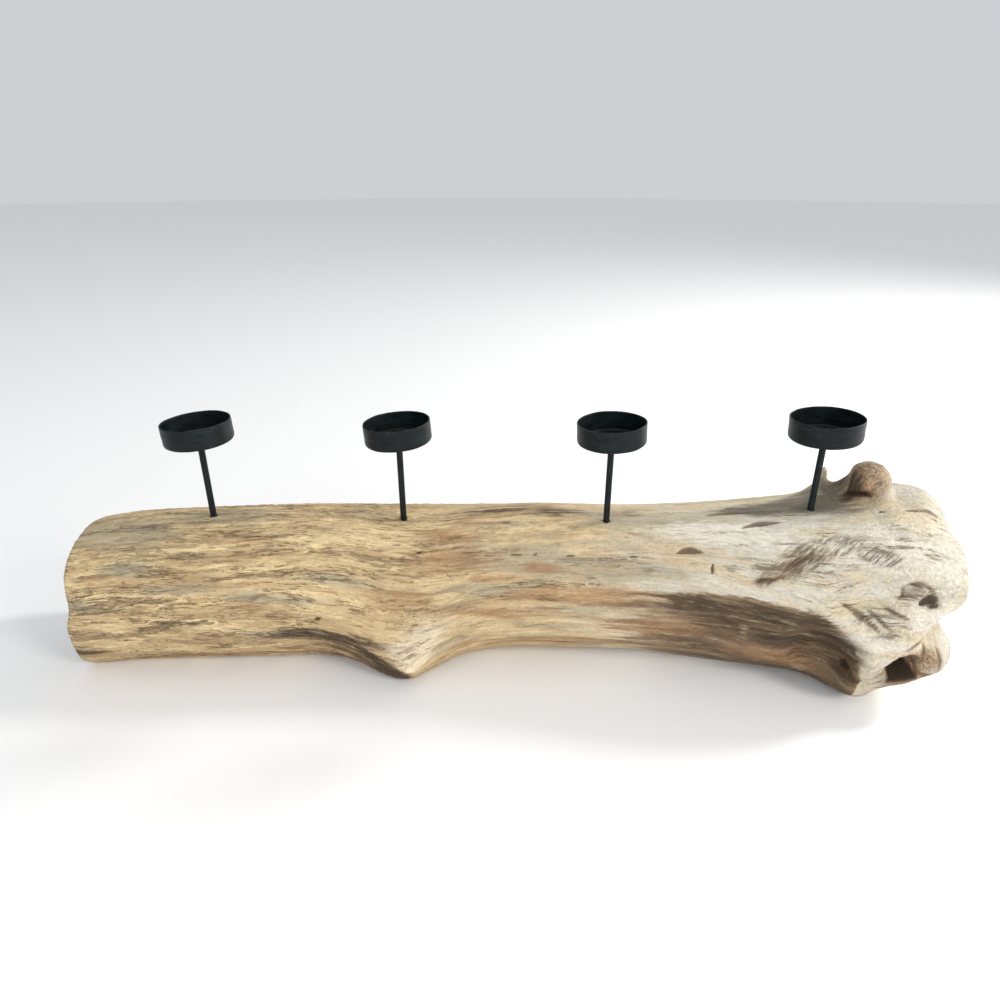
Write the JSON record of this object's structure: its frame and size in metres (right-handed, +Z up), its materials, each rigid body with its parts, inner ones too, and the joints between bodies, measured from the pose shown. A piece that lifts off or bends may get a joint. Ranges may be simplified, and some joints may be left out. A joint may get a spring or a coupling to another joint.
{
  "type": "tealight holder",
  "caption": "Driftwood log lying on its trimmed underside with steel tealight cups on lift-out stems standing in drilled holes.",
  "frame": {"origin": "on the table, under the middle of the object's box", "axes": "+X along the log towards the root end, +Y away from the front, +Z up"},
  "size_m": [0.5573, 0.1314, 0.169],
  "materials": {
    "driftwood": "bare weathered driftwood, dry and matte",
    "cup_coating": "semi-matte black powder coat",
    "stem_coating": "semi-matte black powder coat",
    "weld_coating": "semi-matte black powder coat over a weld bead"
  },
  "bodies": {
    "log": {"log": "driftwood"},
    "cup_stand_1": {"cup_1": "cup_coating", "weld_1": "weld_coating", "stem_1": "stem_coating"},
    "cup_stand_2": {"cup_2": "cup_coating", "weld_2": "weld_coating", "stem_2": "stem_coating"},
    "cup_stand_3": {"cup_3": "cup_coating", "weld_3": "weld_coating", "stem_3": "stem_coating"},
    "cup_stand_4": {"cup_4": "cup_coating", "weld_4": "weld_coating", "stem_4": "stem_coating"}
  },
  "joints": [
    {"name": "lift_out_1", "type": "slide", "parent": "log", "child": "cup_stand_1", "axis": [0, 0, 1], "range_m": [0, 0.06]},
    {"name": "lift_out_2", "type": "slide", "parent": "log", "child": "cup_stand_2", "axis": [0, 0, 1], "range_m": [0, 0.06]},
    {"name": "lift_out_3", "type": "slide", "parent": "log", "child": "cup_stand_3", "axis": [0, 0, 1], "range_m": [0, 0.06]},
    {"name": "lift_out_4", "type": "slide", "parent": "log", "child": "cup_stand_4", "axis": [0, 0, 1], "range_m": [0, 0.06]}
  ]
}
